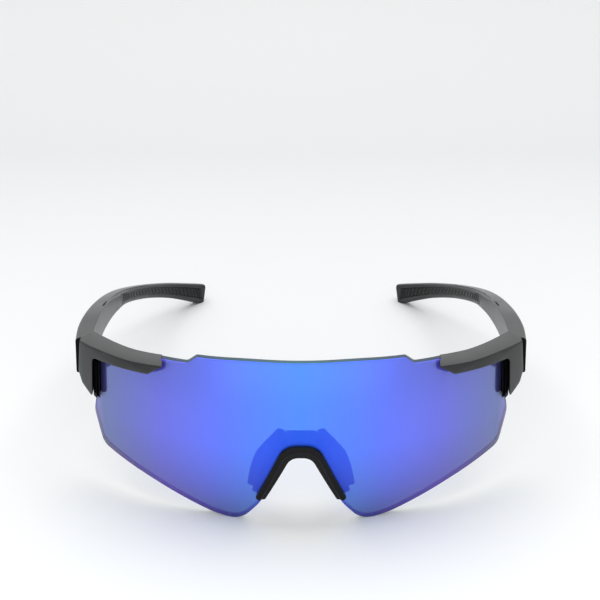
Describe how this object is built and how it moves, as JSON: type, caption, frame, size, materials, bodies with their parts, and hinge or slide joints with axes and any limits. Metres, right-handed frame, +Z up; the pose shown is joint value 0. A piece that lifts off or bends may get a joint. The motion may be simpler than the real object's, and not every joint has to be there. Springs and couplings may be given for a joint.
{
  "type": "sport sunglasses",
  "caption": "Wraparound sport sunglasses: a mirrored shield lens in corner brackets, folding temples with ribbed grips, and a nose bridge with soft pads.",
  "frame": {"origin": "on the ground under the middle of the open glasses, which stand on the lens's two lower lobes and the temple tips", "axes": "+X towards the wearer's left, -Y the way the lens faces, +Z up"},
  "size_m": [0.1456, 0.1618, 0.0527],
  "materials": {
    "mirror_lens": "polycarbonate shield with a blue-violet mirror coat",
    "satin_charcoal": "satin moulded charcoal plastic with a fine grain",
    "retainer_black": "polished black moulding",
    "gloss_black": "polished black moulding",
    "carrier_plastic": "matt black moulding",
    "tip_rubber": "soft matt rubber sleeve",
    "grip_rubber": "soft ribbed rubber",
    "pad_silicone": "soft matt silicone",
    "steel": "small machined screws",
    "brass": "turned threaded insert"
  },
  "bodies": {
    "front": {"lens": "mirror_lens", "nose_bridge": "gloss_black", "nose_carrier": "carrier_plastic", "nose_pad_left": "pad_silicone", "nose_pad_right": "pad_silicone", "bracket_left": "satin_charcoal", "lens_retainer_left": "retainer_black", "retainer_screw_left": "steel", "hinge_screw_left": "steel", "hinge_insert_left": "brass", "bracket_right": "satin_charcoal", "lens_retainer_right": "retainer_black", "retainer_screw_right": "steel", "hinge_screw_right": "steel", "hinge_insert_right": "brass"},
    "temple_left": {"temple_left": "satin_charcoal", "temple_tip_left": "tip_rubber", "temple_grip_left": "grip_rubber"},
    "temple_right": {"temple_right": "satin_charcoal", "temple_tip_right": "tip_rubber", "temple_grip_right": "grip_rubber"}
  },
  "joints": [
    {"name": "fold_left", "type": "hinge", "parent": "front", "child": "temple_left", "pos_m": [0.064, -0.03778, 0.041], "axis": [0, 0.2079, 0.9781], "range_deg": [0, 78]},
    {"name": "fold_right", "type": "hinge", "parent": "front", "child": "temple_right", "pos_m": [-0.064, -0.03778, 0.041], "axis": [0, -0.2079, -0.9781], "range_deg": [0, 62]}
  ]
}
